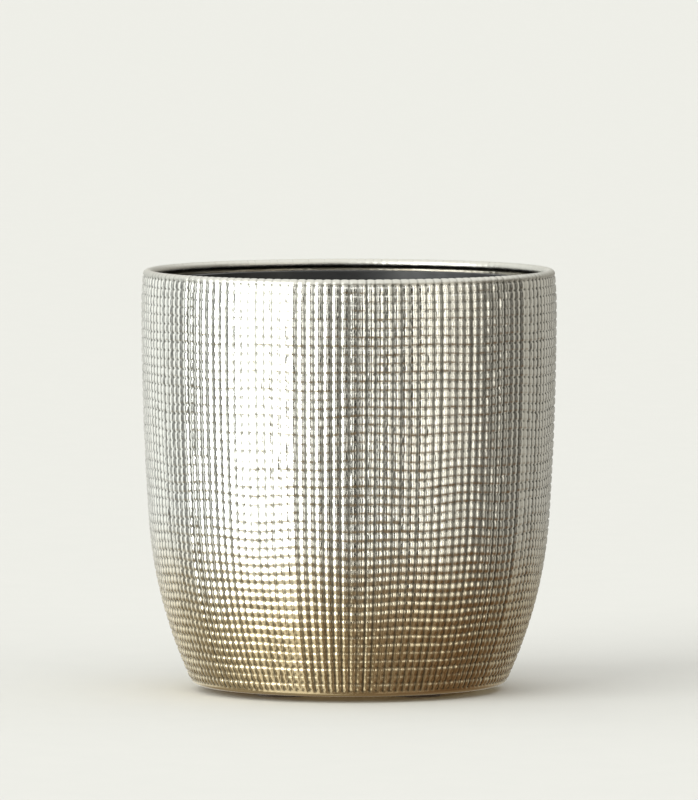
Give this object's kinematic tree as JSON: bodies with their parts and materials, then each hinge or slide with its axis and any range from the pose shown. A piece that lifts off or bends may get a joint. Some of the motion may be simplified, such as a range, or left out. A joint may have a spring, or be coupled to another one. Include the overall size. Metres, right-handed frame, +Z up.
{
  "type": "planter pot",
  "caption": "Round metal cover pot with a rolled rim and rounded heel, holding a lift-out plastic grow pot on a ribbed drip saucer.",
  "frame": {"origin": "on the pot's axis, in the plane that the felt pads stand on", "axes": "+Z up along the pot's axis; the pot is round, so +X and +Y are free"},
  "size_m": [0.136, 0.136, 0.138],
  "materials": {
    "embossed_plate": "polished pale plate on embossed sheet, warming to bare brass at the heel",
    "plain_brass": "plain satin brass",
    "steel_wire": "drawn wire",
    "solder": "dull grey solder",
    "felt": "pressed wool felt",
    "saucer_plastic": "moulded polypropylene, satin",
    "grow_pot_plastic": "thin black moulded polypropylene"
  },
  "bodies": {
    "planter": {"pot_shell": "embossed_plate", "rim_wire": "steel_wire", "base_plate": "plain_brass", "solder_ring": "solder", "felt_pad_1": "felt", "felt_pad_2": "felt", "felt_pad_3": "felt", "felt_pad_4": "felt"},
    "saucer": {"drip_saucer": "saucer_plastic"},
    "grow_pot": {"grow_pot": "grow_pot_plastic"}
  },
  "joints": [
    {"name": "saucer_lift", "type": "slide", "parent": "planter", "child": "saucer", "axis": [0, 0, 1], "range_m": [0, 0.14]},
    {"name": "grow_pot_lift", "type": "slide", "parent": "saucer", "child": "grow_pot", "axis": [0, 0, 1], "range_m": [0, 0.125]}
  ]
}
